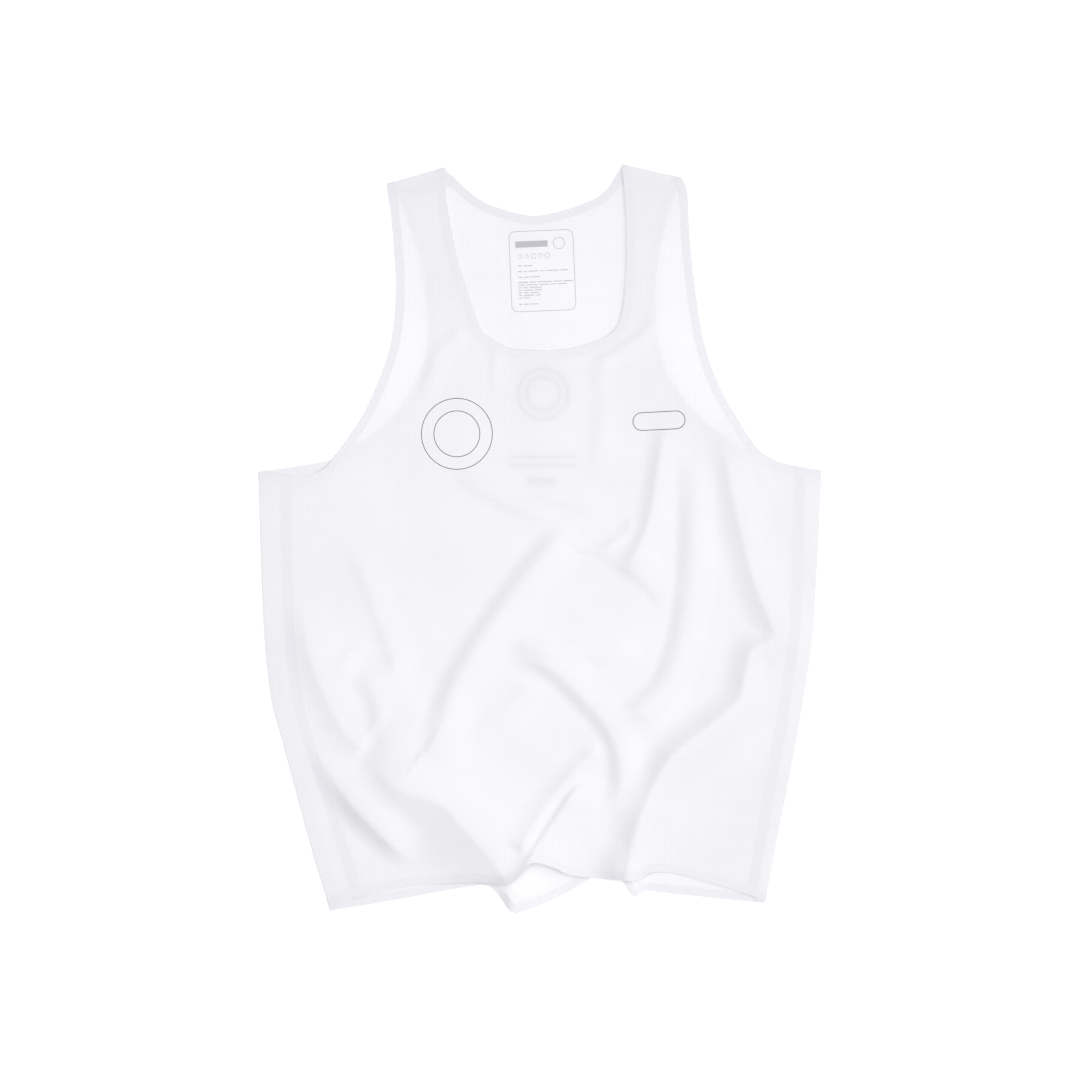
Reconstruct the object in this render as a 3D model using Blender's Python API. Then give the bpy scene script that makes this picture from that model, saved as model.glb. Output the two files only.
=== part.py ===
"""A running singlet of light woven cloth, lying flat with its front side up.

Metres, +Z up. z = 0 is the surface it lies on, +Y runs from the hem to the shoulders and +X to the
viewer's right. The origin is at the middle of the singlet, under it. Left and right are the viewer's.

Each piece is cut as a flat outline and laid by one of two maps, which bend it over the folds:
the back lies on the surface, and it wraps round both side folds onto the front side, where the side
seams lie; the front lies on the back, and it wraps over the top of each strap to the shoulder seam.
A flat outline is the cloth's outer face as seen from above, so only the folds move it.
"""
from collections import namedtuple
from math import pi

import bmesh
import bpy
import numpy as np
from mathutils.geometry import delaunay_2d_cdt

MM = 0.001

# Driving dimensions
CLOTH = 1.0 * MM            # wall of a panel
TAPE = 1.2 * MM             # wall of a bonded tape
SEAM_GAP = 0.3 * MM         # between two pieces that are bonded side by side
HEM_GAP = 0.5 * MM          # the same along the front hem, measured flat, because its flaps narrow it
EDGE_TAPE_WIDTH = 8.2 * MM  # at neck, armholes and hem
SIDE_TAPE_WIDTH = 10.4 * MM
SHOULDER_TAPE_WIDTH = 10.0 * MM
SHOULDER_DROP = 8.0 * MM    # from the top of a strap, down the back, to the shoulder seam
LIFT = 3.2 * MM             # height of the front's outer face where it lies flat on the back
FOLD_RADIUS = LIFT / 2      # outer radius of the side folds and of the strap tops
FOLD_ARC = pi * FOLD_RADIUS
FOLD_FACETS = 6
SETTLE = 1.5 * MM           # softness of the change from a raised fold to cloth lying flat
CALM_EDGE = 14 * MM         # no fold is raised at a side fold or strap top, within this distance
STEEP = 0.28                # a fold's side is steep if its height is over this share of its reach
GRID = 15 * MM              # spacing of the points inside a panel
ROW_PITCH = 0.866           # from one row of those to the next, as a share of their spacing
EDGE_STEP = 10 * MM         # spacing of the points along an outline
HEM_STEP = 8 * MM           # the same along the front's hem, which curls
CREST_STEP = 12 * MM        # spacing of the points along the edges that follow a fold
FOLD_STEP = 6 * MM          # the same on the line from which a fold's height is worked out
MERGE = 1e-6                # points of one outline closer than this become one
SHARP = 1.0                 # radians between two faces, from which their edge is shaded sharp

# The side folds, from the armholes to the hem, in mm. wrap_left and wrap_right are how far the back
# comes onto the front side, from the side fold to the side-seam tape.
Section = namedtuple("Section", "name y left right wrap_left wrap_right")
SECTIONS = [
    Section("underarm", 64, -271, 271, 22, 17),
    Section("ribs", -22, -268.5, 267, 21, 14.5),
    Section("waist", -98, -265, 262, 20.5, 13.5),
    Section("low_waist", -156, -258.5, 253.5, 21.5, 13),
    Section("hip", -194, -248.5, 247, 21.5, 12.5),
    Section("low_hip", -252, -233, 236, 25, 12),
    Section("above_hem", -310, -217, 224.5, 27.5, 10.5),
    Section("hem", -350, -204.5, 217, 27.5, 10.5),
]

# The top fold of each strap, in mm: its armhole end and neck end, and how far the two edges of the
# strap move towards the neck for each millimetre down the back.
Strap = namedtuple("Strap", "name outer inner arm_lean neck_lean")
STRAPS = {
    "left": Strap("left", (-147, 340), (-92, 356), 0.29, 0.45),
    "right": Strap("right", (136, 346), (79, 359), 0.18, 0.30),
}

# Edges, in mm. Those of the front lie on top. Those of the back run on past the side folds.
FRONT_NECK = [(-91, 336), (-88, 312), (-78, 263), (-60, 208), (-54, 196), (-43, 188), (-30, 182),
              (-18, 180), (2, 179), (21, 180), (38, 183), (64, 193), (77, 209), (82, 243), (83, 287),
              (82, 318)]
FRONT_ARMHOLE_LEFT = [(-258, 62), (-233, 59), (-221, 60), (-209, 65), (-199, 75), (-172, 113),
                      (-154, 151), (-142, 190), (-138, 238), (-141, 293)]
FRONT_ARMHOLE_RIGHT = [(271, 64), (253, 67), (237, 70), (225, 74), (212, 82), (202, 94), (190, 113),
                       (176, 137), (162, 170), (153, 209), (146, 261), (143, 296), (141, 332)]
BACK_NECK = [(-92, 356), (-83, 346), (-68, 332), (-54, 322), (-36, 315), (-17, 310), (-2, 309), (19, 313),
             (35, 318), (52, 325), (63, 333), (72, 346), (79, 359)]
BACK_ARMHOLE_LEFT = [(-306, 60), (-276, 63), (-271, 63), (-230, 69), (-199, 75), (-181, 87), (-146, 112),
                     (-120, 149), (-111, 172), (-108, 207), (-115, 263), (-134, 320), (-147, 340)]
BACK_ARMHOLE_RIGHT = [(302, 68), (276, 65), (271, 64), (221, 74), (198, 85), (175, 99), (154, 116),
                      (136, 136), (122, 159), (114, 185), (111, 209), (112, 252), (120, 298), (136, 346)]
FRONT_HEM = [(-192, -350), (-179, -347), (-150, -339), (-120, -333), (-96, -332), (-58, -330),
             (-33, -331), (-20, -328), (-10, -321), (-3, -316), (8, -317), (20, -321), (31, -326),
             (49, -327), (78, -327), (97, -326), (106, -321), (131, -322), (159, -330), (187, -338),
             (215, -348), (230, -354)]
BACK_HEM = [(-254, -336), (-207, -357), (-202, -358), (-140, -348), (-86, -338), (-54, -334), (-41, -341),
            (-27, -358), (-20, -358), (-3, -353), (25, -341), (50, -326), (62, -319), (78, -328),
            (90, -344), (100, -339), (129, -342), (188, -348), (217, -350), (242, -343)]

# Folds, in mm. A fold is a ridge that dies out over its reach on the left and on the right of its
# crest, as one travels along the points. Each of these sides is soft, or steepest at its foot, where
# it meets the lower cloth in a crease, or steepest at its top edge. lean moves the crest sideways, so
# that a flap falls over. The height changes evenly from height at the first point to end_height at
# the last, and the ridge rises out of the cloth over fade_in and sinks back over fade_out.
Fold = namedtuple("Fold", "name height end_height left right left_side right_side lean fade_in fade_out "
                  "points")
FRONT_FOLDS = [
    Fold("left_flap", 15, 15, 90, 64, "soft", "edge", (0, 0), 62, 0,
         [(-175, -197), (-157, -217), (-138, -240), (-118, -247), (-99, -253), (-90, -259),
          (-77, -274), (-60, -293), (-41, -315), (-32, -336)]),
    Fold("right_flap", 8, 8, 75, 26, "soft", "edge", (-5, 6), 40, 0,
         [(53, -221), (46, -231), (25, -266), (6, -294), (-2, -306), (-14, -330)]),
    Fold("chest_step", 7.5, 7.5, 34, 22, "soft", "soft", (0, 0), 35, 60,
         [(41, 6), (15, -8), (-12, -39), (-45, -85), (-74, -131), (-90, -169), (-98, -204),
          (-100, -228)]),
    Fold("belly_step", 7, 7, 30, 17, "soft", "soft", (0, 0), 45, 40,
         [(-34, -108), (9, -122), (39, -150), (67, -182), (78, -216), (76, -257), (69, -276)]),
    Fold("breast_fold", 7, 7, 36, 18, "soft", "edge", (0, 0), 40, 40,
         [(121, 122), (112, 65), (106, 26), (93, -10), (73, -45)]),
    Fold("rib_fold_inner", 7, 7, 25, 17, "soft", "foot", (0, 0), 70, 35,
         [(146, 103), (148, -2), (144, -60), (137, -100), (123, -139), (102, -163), (72, -185)]),
    Fold("hip_fold", 8, 15, 45, 26, "soft", "edge", (0, 0), 60, 0,
         [(169, 113), (179, 65), (187, 26), (196, -12), (207, -50), (219, -79), (223, -94),
          (215, -101), (202, -107), (196, -127), (191, -151), (181, -163), (154, -185), (128, -206),
          (112, -228), (100, -255), (91, -281), (77, -334)]),
    Fold("left_hip_step", 5, 5, 60, 26, "soft", "edge", (0, 0), 60, 10,
         [(-230, -46), (-225, -98), (-209, -146), (-187, -188), (-167, -206)]),
    Fold("left_fold_edge", 5, 5, 60, 20, "soft", "soft", (0, 0), 25, 45,
         [(-173, -121), (-153, -156), (-148, -190), (-142, -218)]),
    Fold("left_hem_ridge", 8, 8, 34, 20, "soft", "edge", (0, 0), 90, 45,
         [(-230, -190), (-208, -219), (-181, -256), (-150, -288), (-133, -303), (-111, -313)]),
    Fold("centre_ridge", 5.5, 5.5, 14, 20, "soft", "edge", (0, 0), 18, 8,
         [(60, -195), (34, -223), (12, -247), (-6, -273), (-21, -302)]),
]
BACK_FOLDS = [
    Fold("hem_ridge_left", 10, 10, 70, 20, "soft", "edge", (0, 0), 50, 0,
         [(-38, -308), (-30, -334), (-28, -368)]),
    Fold("hem_ridge_right", 6, 6, 12, 25, "soft", "soft", (0, 0), 45, 0,
         [(84, -302), (92, -338), (94, -356)]),
]


# Lines in the plane

def resample(line, step):
    """The same line with its points at even distances of about step."""
    run = np.concatenate([[0], np.cumsum(np.hypot(*np.diff(line, axis=0).T))])
    places = np.linspace(0, run[-1], max(2, round(run[-1] / step) + 1))
    return np.column_stack([np.interp(places, run, line[:, 0]), np.interp(places, run, line[:, 1])])


def curve(points, step=EDGE_STEP):
    """A smooth curve (Catmull-Rom) through points given in millimetres, with even steps in metres."""
    knots = np.array(points, dtype=float) * MM
    knots = np.vstack([2 * knots[0] - knots[1], knots, 2 * knots[-1] - knots[-2]])
    pieces = []
    for p0, p1, p2, p3 in zip(knots, knots[1:], knots[2:], knots[3:]):
        t = np.linspace(0, 1, 12, endpoint=False)[:, None]
        pieces.append(0.5 * (2 * p1 + (p2 - p0) * t + (2 * p0 - 5 * p1 + 4 * p2 - p3) * t ** 2
                             + (3 * p1 - p0 - 3 * p2 + p3) * t ** 3))
    return resample(np.vstack(pieces + [knots[-2:-1]]), step)


def beside(line, distance):
    """The line moved sideways by distance, to the left of its direction."""
    along = np.gradient(line, axis=0)
    along /= np.hypot(*along.T)[:, None]
    return line + distance * np.column_stack([-along[:, 1], along[:, 0]])


def above(line, distance):
    """A hem line moved up by distance, measured square to the hem."""
    slope = np.gradient(line[:, 1]) / np.gradient(line[:, 0])
    steepest = 1.35
    stretch = np.minimum(np.sqrt(1 + slope ** 2), steepest)
    return line + np.column_stack([np.zeros(len(line)), distance * stretch])


def crossing(first, second):
    """Where two lines cross, as a place along each (whole part: segment) and the point."""
    start, step = first[:-1, None], np.diff(first, axis=0)[:, None]
    other, other_step = second[None, :-1], np.diff(second, axis=0)[None]
    gap = other - start
    turn = step[..., 0] * other_step[..., 1] - step[..., 1] * other_step[..., 0]
    turn = np.where(np.abs(turn) < 1e-18, np.nan, turn)
    here = (gap[..., 0] * other_step[..., 1] - gap[..., 1] * other_step[..., 0]) / turn
    there = (gap[..., 0] * step[..., 1] - gap[..., 1] * step[..., 0]) / turn
    hits = np.argwhere((here >= 0) & (here <= 1) & (there >= 0) & (there <= 1))
    if not len(hits):
        raise ValueError("two edges of an outline do not meet")
    i, j = hits[0]
    return i + here[i, j], j + there[i, j], first[i] + here[i, j] * np.diff(first, axis=0)[i]


def outline(*edges):
    """The closed outline between edges that each cross the next one, trimmed at the crossings."""
    corners = [crossing(edge, edges[(k + 1) % len(edges)]) for k, edge in enumerate(edges)]
    points = []
    for k, edge in enumerate(edges):
        begin, end = corners[k - 1][1], corners[k][0]
        inner = [i for i in range(len(edge)) if min(begin, end) + 0.2 < i < max(begin, end) - 0.2]
        points += [edge[i] for i in (inner if begin < end else reversed(inner))]
        points.append(corners[k][2])
    return np.array(points)


def nearest(points, line):
    """For each point: its distance to the line, positive on the left, and how far along that is."""
    start, step = line[:-1], np.diff(line, axis=0)
    length = np.hypot(*step.T)
    gap = points[:, None] - start
    part = np.clip((gap * step).sum(2) / length ** 2, 0, 1)
    away = gap - part[..., None] * step
    best = np.argmin((away ** 2).sum(2), axis=1)
    rows = np.arange(len(points))
    side = np.sign(step[best, 0] * gap[rows, best, 1] - step[best, 1] * gap[rows, best, 0])
    run = np.concatenate([[0], np.cumsum(length)])
    return side * np.hypot(*away[rows, best].T), run[best] + part[rows, best] * length[best]


# The side folds and the strap tops

def side_profile(column):
    """A column of SECTIONS as a smooth function of y, in metres."""
    rows = [(getattr(row, column), row.y) for row in SECTIONS]
    top = (rows[0][0], rows[0][1] + 40)
    low = tuple(2 * last - before for last, before in zip(rows[-1], rows[-2]))
    line = curve([top] + rows + [low])[::-1]
    return lambda y: np.interp(y, line[:, 1], line[:, 0])


outer_left, outer_right = side_profile("left"), side_profile("right")
wrap_left, wrap_right = side_profile("wrap_left"), side_profile("wrap_right")


def side_left(y):
    """Where the flat back starts to turn up, on the left."""
    return outer_left(y) + FOLD_RADIUS


def side_right(y):
    """Where the flat back starts to turn up, on the right."""
    return outer_right(y) - FOLD_RADIUS


def seam_line(side, inset):
    """A line down one side, inset metres inside the outer edge of the side-seam tape."""
    past_armhole, past_hem = 90 * MM, -372 * MM
    y = np.linspace(past_armhole, past_hem, 47)
    if side == "left":
        return np.column_stack([outer_left(y) + wrap_left(y) + inset, y])
    return np.column_stack([outer_right(y) - wrap_right(y) - inset, y])


def wrapped_seam_line(side, inset):
    """The same line on the back's flat outline, which runs out past the side fold."""
    line = seam_line(side, inset)
    fold = side_left(line[:, 1]) if side == "left" else side_right(line[:, 1])
    outward = -FOLD_ARC if side == "left" else FOLD_ARC
    return np.column_stack([2 * fold - line[:, 0] + outward, line[:, 1]])


def side_fold_creases():
    """Lines along both side folds, at each facet of the turn."""
    y = np.linspace(70 * MM, -370 * MM, 21)
    places = np.arange(FOLD_FACETS + 1) / FOLD_FACETS * FOLD_ARC
    return ([np.column_stack([side_left(y) - place, y]) for place in places]
            + [np.column_stack([side_right(y) + place, y]) for place in places])


def strap_axes(strap):
    """Where a strap's top starts to turn, at its armhole end, and the directions along and across it."""
    outer, inner = np.array(strap.outer) * MM, np.array(strap.inner) * MM
    along = (inner - outer) / np.hypot(*(inner - outer))
    up = np.array([-along[1], along[0]]) * np.sign(along[0])
    return outer - FOLD_RADIUS * up, along, up


def strap_line(strap, rise):
    """A line along a strap's top fold, moved up the flat cloth by rise (down if negative)."""
    outer, along, up = strap_axes(strap)
    width = np.hypot(*(np.array(strap.inner) - strap.outer)) * MM
    reach = 25 * MM
    ends = np.array([outer - reach * along, outer + (width + reach) * along]) + rise * up
    return resample(ends, EDGE_STEP)


def past_top(strap, corner, lean):
    """The two points, in mm, by which an edge of the front runs on over the top of its strap."""
    _, along, up = strap_axes(strap)
    corner = np.array(corner) - up * FOLD_RADIUS / MM
    over = corner + up * FOLD_ARC / MM
    past_seam = 8 * MM
    drop = (SHOULDER_DROP + past_seam) / MM
    return [tuple(corner), tuple(over), tuple(over + up * drop + along * lean * drop)]


# The two layers

PROFILES = {
    "soft": lambda part: 0.5 + 0.5 * np.cos(pi * part),
    "foot": lambda part: np.cos(pi / 2 * part),
    "edge": lambda part: 1 - np.sin(pi / 2 * part),
}


def profile(away, fold):
    """A fold's height across it, from 1 at its crest to 0 at its reach on either side."""
    left = PROFILES[fold.left_side](np.clip(away / (fold.left * MM), 0, 1))
    right = PROFILES[fold.right_side](np.clip(-away / (fold.right * MM), 0, 1))
    return np.where(away > 0, left, right)


def ramp(value):
    """A smooth rise from 0 at 0 to 1 at 1."""
    value = np.clip(value, 0, 1)
    return value * value * (3 - 2 * value)


def relief(points, folds):
    """How high the folds lift each point of flat cloth, and how far they move it sideways."""
    rise, shift = np.zeros(len(points)), np.zeros((len(points), 2))
    for fold in folds:
        line = curve(fold.points, FOLD_STEP)
        away, run = nearest(points, line)
        length = np.hypot(*np.diff(line, axis=0).T).sum()
        share = profile(away, fold)
        if fold.fade_in:
            share = share * ramp(run / (fold.fade_in * MM))
        if fold.fade_out:
            share = share * ramp((length - run) / (fold.fade_out * MM))
        rise += (fold.height + (fold.end_height - fold.height) * run / length) * MM * share
        shift += share[:, None] * np.array(fold.lean) * MM
    return rise, shift


def calm(points):
    """0 at the side folds and strap tops, 1 away from them."""
    share = ramp((points[:, 0] - side_left(points[:, 1])) / CALM_EDGE)
    share = share * ramp((side_right(points[:, 1]) - points[:, 0]) / CALM_EDGE)
    for strap in STRAPS.values():
        outer, _, up = strap_axes(strap)
        near = np.sign(points[:, 0]) == np.sign(outer[0])
        share = np.where(near, share * ramp(-((points - outer) @ up) / CALM_EDGE), share)
    return share


def on_front(points):
    """The front's outer face at points of the flat front, folds and all."""
    rise, shift = relief(points, FRONT_FOLDS)
    lying = points + shift
    back_rise, _ = relief(lying, BACK_FOLDS)
    rise = 0.5 * (rise + np.sqrt(rise ** 2 + SETTLE ** 2)) * calm(points)
    return np.column_stack([lying, LIFT + rise + back_rise])


def front_layer(points):
    """Lay flat cloth as the front: on the back, and over each strap top to the surface."""
    placed = on_front(points)
    for strap in STRAPS.values():
        outer, _, up = strap_axes(strap)
        past = (points - outer) @ up
        over = (past > 0) & (np.sign(points[:, 0]) == np.sign(outer[0]))
        angle = np.clip(past / FOLD_RADIUS, 0, pi)
        foot = points - past[:, None] * up
        out = FOLD_RADIUS * np.sin(angle) - np.maximum(past - FOLD_ARC, 0)
        turned = np.column_stack([foot + out[:, None] * up, FOLD_RADIUS * (1 + np.cos(angle))])
        placed = np.where(over[:, None], turned, placed)
    return placed


def back_layer(points):
    """Lay flat cloth as the back: on the surface, and round each side fold onto the front side."""
    rise, _ = relief(points, BACK_FOLDS)
    placed = np.column_stack([points, rise])
    y = points[:, 1]
    for fold, outward in ((side_left(y), -1), (side_right(y), 1)):
        past = (points[:, 0] - fold) * outward
        angle = np.clip(past / FOLD_RADIUS, 0, pi)
        x = fold + outward * (FOLD_RADIUS * np.sin(angle) - np.maximum(past - FOLD_ARC, 0))
        lying = on_front(np.column_stack([x, y]))
        turning = np.column_stack([x, y, FOLD_RADIUS * (1 - np.cos(angle))])
        turned = np.where((past > FOLD_ARC)[:, None], lying, turning)
        placed = np.where((past > 0)[:, None], turned, placed)
    return placed


# Making the pieces

def inside(points, ring):
    """Which points lie inside a closed ring."""
    after = np.roll(ring, -1, axis=0)
    spans = (ring[None, :, 1] > points[:, None, 1]) != (after[None, :, 1] > points[:, None, 1])
    height = np.where(after[:, 1] == ring[:, 1], 1, after[:, 1] - ring[:, 1])
    x = ring[:, 0] + (points[:, None, 1] - ring[:, 1]) / height * (after[:, 0] - ring[:, 0])
    return (spans & (points[:, None, 0] < x)).sum(1) % 2 == 1


def fill(ring, creases, spacing):
    """Triangles that fill a ring, with points on a staggered grid and edges along the creases."""
    low, high = ring.min(0), ring.max(0)
    rows = np.arange(low[1], high[1], spacing * ROW_PITCH)
    grid = np.array([(x + (k % 2) * spacing / 2, y) for k, y in enumerate(rows)
                     for x in np.arange(low[0], high[0], spacing)])
    keep = inside(grid, ring)
    for line in [np.vstack([ring, ring[:1]])] + creases:
        keep &= np.abs(nearest(grid, line)[0]) > 0.6 * spacing
    points, edges = [], []
    for line in [np.vstack([ring, ring[:1]])] + creases:
        first = len(points)
        points += [tuple(p) for p in line]
        edges += [(first + k, first + k + 1) for k in range(len(line) - 1)]
    points += [tuple(p) for p in grid[keep]]
    flat, _, faces, *_ = delaunay_2d_cdt(points, edges, [], 0, MERGE)
    flat, faces = np.array([tuple(p) for p in flat]), np.array([tuple(face) for face in faces])
    used, places = np.unique(faces[inside(flat[faces].mean(1), ring)], return_inverse=True)
    return flat[used], places.reshape(-1, 3)


def cloth_material(name, colour, roughness):
    """A plain matt material."""
    material = bpy.data.materials.new(name)
    material.use_nodes = True
    shader = material.node_tree.nodes["Principled BSDF"]
    shader.inputs["Base Color"].default_value = (*colour, 1)
    shader.inputs["Roughness"].default_value = roughness
    shader.inputs["Metallic"].default_value = 0
    return material


def lay(layer, slab):
    """Bend a flat slab as its layer's map bends its outer face, at z = 0, and keep its thickness."""
    flat, nudge = slab[:, :2], 0.2 * MM
    along_x = layer(flat + (nudge, 0)) - layer(flat - (nudge, 0))
    along_y = layer(flat + (0, nudge)) - layer(flat - (0, nudge))
    normal = np.cross(along_x, along_y)
    normal /= np.linalg.norm(normal, axis=1)[:, None]
    return layer(flat) + slab[:, 2:] * normal


def piece(name, ring, layer, wall, material, creases=(), spacing=GRID):
    """A piece of cloth: a flat slab in its outline, with its wall on the inside, laid by its map."""
    flat, faces = fill(ring, list(creases), spacing)
    inward = 1 if layer is back_layer else -1
    mesh = bpy.data.meshes.new(name)
    mesh.from_pydata([(x, y, 0) for x, y in flat], [], faces.tolist())
    slab = bmesh.new()
    slab.from_mesh(mesh)
    extruded = bmesh.ops.extrude_face_region(slab, geom=slab.faces[:])["geom"]
    inner = [part for part in extruded if isinstance(part, bmesh.types.BMVert)]
    bmesh.ops.translate(slab, verts=inner, vec=(0, 0, inward * wall))
    bmesh.ops.recalc_face_normals(slab, faces=slab.faces[:])
    for vert, place in zip(slab.verts, lay(layer, np.array([v.co for v in slab.verts]))):
        vert.co = place
    slab.to_mesh(mesh)
    slab.free()
    mesh.materials.append(material)
    mesh.shade_smooth()
    mesh.set_sharp_from_angle(angle=SHARP)
    singlet.objects.link(bpy.data.objects.new(name, mesh))


def front_edges():
    """The edges of the front, on its flat outline, running on over the strap tops."""
    left, right = STRAPS["left"], STRAPS["right"]
    neck = (past_top(left, left.inner, left.neck_lean)[::-1] + FRONT_NECK
            + past_top(right, right.inner, right.neck_lean))
    armhole_left = FRONT_ARMHOLE_LEFT + past_top(left, left.outer, left.arm_lean)
    armhole_right = FRONT_ARMHOLE_RIGHT + past_top(right, right.outer, right.arm_lean)
    return curve(neck), curve(armhole_left), curve(armhole_right), curve(FRONT_HEM, HEM_STEP)


def fold_creases(folds):
    """Lines along the crest of every fold, and down its steep sides."""
    lines = []
    for fold in folds:
        crest = curve(fold.points, CREST_STEP)
        lines.append(crest)
        for reach in (fold.left, -fold.right):
            if max(fold.height, fold.end_height) > STEEP * abs(reach):
                shares = (0.08, 0.18, 0.3, 0.44, 0.6, 0.8, 1) if any(fold.lean) else (0.5, 1)
                lines += [beside(crest, share * reach * MM) for share in shares]
    return lines


def make_front():
    """The front panel, its tapes, and the side seams that join it to the back."""
    neck, arm_left, arm_right, hem = front_edges()
    inset = EDGE_TAPE_WIDTH + SEAM_GAP
    side_inset = SIDE_TAPE_WIDTH + SEAM_GAP
    top = {side: strap_line(strap, FOLD_ARC + SHOULDER_DROP) for side, strap in STRAPS.items()}
    turns = [strap_line(strap, k / FOLD_FACETS * FOLD_ARC)
             for strap in STRAPS.values() for k in range(FOLD_FACETS + 1)]
    panel = outline(seam_line("left", side_inset), beside(arm_left, -inset), top["left"],
                    beside(neck, -inset), top["right"], beside(arm_right, inset),
                    seam_line("right", side_inset), above(hem, EDGE_TAPE_WIDTH + HEM_GAP))
    cloth = cloth_material("front_cloth", (0.93, 0.93, 0.95), 0.85)
    tape = cloth_material("front_tape", (0.88, 0.88, 0.91), 0.7)
    piece("front_panel", panel, front_layer, CLOTH, cloth, turns + fold_creases(FRONT_FOLDS))
    piece("neck_band_front",
          outline(neck, top["right"], beside(neck, -EDGE_TAPE_WIDTH), top["left"]),
          front_layer, TAPE, tape, turns)
    for side, arm, inward in (("left", arm_left, -1), ("right", arm_right, 1)):
        piece("armhole_band_front_" + side,
              outline(arm, top[side], beside(arm, inward * EDGE_TAPE_WIDTH),
                      seam_line(side, side_inset)),
              front_layer, TAPE, tape, turns)
    piece("hem_band_front",
          outline(hem, seam_line("right", side_inset), above(hem, EDGE_TAPE_WIDTH),
                  seam_line("left", side_inset)),
          front_layer, TAPE, tape, fold_creases(FRONT_FOLDS))
    for side, arm in (("left", arm_left), ("right", arm_right)):
        piece("side_seam_" + side,
              outline(seam_line(side, 0), arm, seam_line(side, SIDE_TAPE_WIDTH), hem),
              front_layer, TAPE, tape)


def make_back():
    """The back panel, its tapes, and the shoulder seams that join it to the front."""
    neck, arm_left, arm_right, hem = (curve(edge) for edge in
                                      (BACK_NECK, BACK_ARMHOLE_LEFT, BACK_ARMHOLE_RIGHT, BACK_HEM))
    inset = EDGE_TAPE_WIDTH + SEAM_GAP
    seam_end = -SEAM_GAP
    tape_start = SHOULDER_DROP + SEAM_GAP
    tape_end = tape_start + SHOULDER_TAPE_WIDTH
    top = {side: strap_line(strap, -tape_end - SEAM_GAP) for side, strap in STRAPS.items()}
    turns = side_fold_creases()
    crests = fold_creases(BACK_FOLDS)
    cloth = cloth_material("back_cloth", (0.92, 0.92, 0.94), 0.85)
    tape = cloth_material("back_tape", (0.87, 0.87, 0.90), 0.7)
    panel = outline(wrapped_seam_line("left", seam_end), beside(arm_left, -inset), top["left"],
                    beside(neck, -inset), top["right"], beside(arm_right, inset),
                    wrapped_seam_line("right", seam_end), above(hem, inset))
    piece("back_panel", panel, back_layer, CLOTH, cloth, turns + crests, 2 * GRID)
    piece("neck_band_back", outline(neck, top["right"], beside(neck, -EDGE_TAPE_WIDTH), top["left"]),
          back_layer, TAPE, tape)
    for side, arm, inward in (("left", arm_left, -1), ("right", arm_right, 1)):
        strap = STRAPS[side]
        piece("armhole_band_back_" + side,
              outline(arm, top[side], beside(arm, inward * EDGE_TAPE_WIDTH),
                      wrapped_seam_line(side, seam_end)),
              back_layer, TAPE, tape, turns)
        piece("shoulder_seam_" + side,
              outline(arm, strap_line(strap, -tape_end), neck, strap_line(strap, -tape_start)),
              back_layer, TAPE, tape)
    piece("hem_band_back",
          outline(hem, wrapped_seam_line("right", seam_end), above(hem, EDGE_TAPE_WIDTH),
                  wrapped_seam_line("left", seam_end)),
          back_layer, TAPE, tape, turns + crests)


for old in list(bpy.data.objects):
    bpy.data.objects.remove(old)
singlet = bpy.data.collections.new("running_singlet")
bpy.context.scene.collection.children.link(singlet)
make_back()
make_front()
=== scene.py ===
"""The looks of the running singlet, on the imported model's frame.

Metres, +Z up, in the row frame: z = 0 is the surface the singlet lies on, +Y runs from the hem to the
shoulders and +X to the viewer's right. Left and right are the viewer's.

The cloth is cut to the same flat outlines as the solids and laid by the same two maps, with closer
points and finer creases. The back lies on the surface and wraps round both side folds onto the front
side, where the side seams lie. The front lies on the back and wraps over the strap tops.
"""
from collections import namedtuple
from math import pi, radians

import bpy
import numpy as np
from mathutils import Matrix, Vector
from mathutils.geometry import delaunay_2d_cdt


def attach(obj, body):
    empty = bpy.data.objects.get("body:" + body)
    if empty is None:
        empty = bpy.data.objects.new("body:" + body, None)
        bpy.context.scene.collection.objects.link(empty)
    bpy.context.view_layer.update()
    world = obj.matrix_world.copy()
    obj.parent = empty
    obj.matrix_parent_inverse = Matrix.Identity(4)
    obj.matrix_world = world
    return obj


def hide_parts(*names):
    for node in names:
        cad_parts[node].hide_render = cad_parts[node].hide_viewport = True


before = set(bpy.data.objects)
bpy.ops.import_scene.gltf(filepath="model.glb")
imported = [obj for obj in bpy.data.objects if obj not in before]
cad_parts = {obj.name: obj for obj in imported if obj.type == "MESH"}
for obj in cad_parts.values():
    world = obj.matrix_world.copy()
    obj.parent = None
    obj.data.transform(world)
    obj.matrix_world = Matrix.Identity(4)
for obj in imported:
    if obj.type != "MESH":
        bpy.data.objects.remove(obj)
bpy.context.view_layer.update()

MM = 0.001

# Driving dimensions, those of the solids
EDGE_TAPE_WIDTH = 8.2 * MM  # at neck, armholes and hem
SIDE_TAPE_WIDTH = 10.4 * MM
SHOULDER_TAPE_WIDTH = 10.0 * MM
SHOULDER_DROP = 8.0 * MM    # from the top of a strap, down the back, to the shoulder seam
LIFT = 3.2 * MM             # height of the front's outer face where it lies flat on the back
FOLD_RADIUS = LIFT / 2      # outer radius of the side folds and of the strap tops
FOLD_ARC = pi * FOLD_RADIUS
FOLD_FACETS = 8
SETTLE = 1.5 * MM           # softness of the change from a raised fold to cloth lying flat
CALM_EDGE = 14 * MM         # no fold is raised at a side fold or strap top, within this distance

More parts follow.
